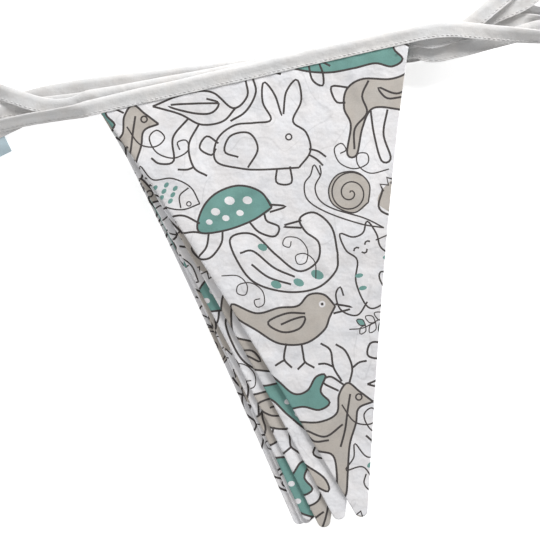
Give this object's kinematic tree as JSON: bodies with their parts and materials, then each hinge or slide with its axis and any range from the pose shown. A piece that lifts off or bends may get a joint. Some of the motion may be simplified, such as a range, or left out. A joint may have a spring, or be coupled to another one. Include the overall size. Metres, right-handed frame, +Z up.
{
  "type": "fabric bunting",
  "caption": "Double-sided triangular cotton flags on one folded cotton tape, gathered flag on flag and laid flat, with the tape's loose ends at the left.",
  "frame": {"origin": "on the surface that the bunting lies on, under the middle of its whole width and depth", "axes": "+Z up from the surface, +X to the right along the tape, +Y up the page, from the flags' tips towards the tape"},
  "size_m": [0.4468, 0.3752, 0.0243],
  "materials": {
    "flag_cotton": "plain woven cotton, printed and pressed",
    "tape_cotton": "white cotton tape",
    "label_ribbon": "smooth woven ribbon"
  },
  "bodies": {
    "root": {"flag_1": "flag_cotton", "flag_2": "flag_cotton", "flag_3": "flag_cotton", "flag_4": "flag_cotton", "flag_5": "flag_cotton", "flag_6": "flag_cotton", "tape": "tape_cotton", "label": "label_ribbon"}
  },
  "joints": []
}
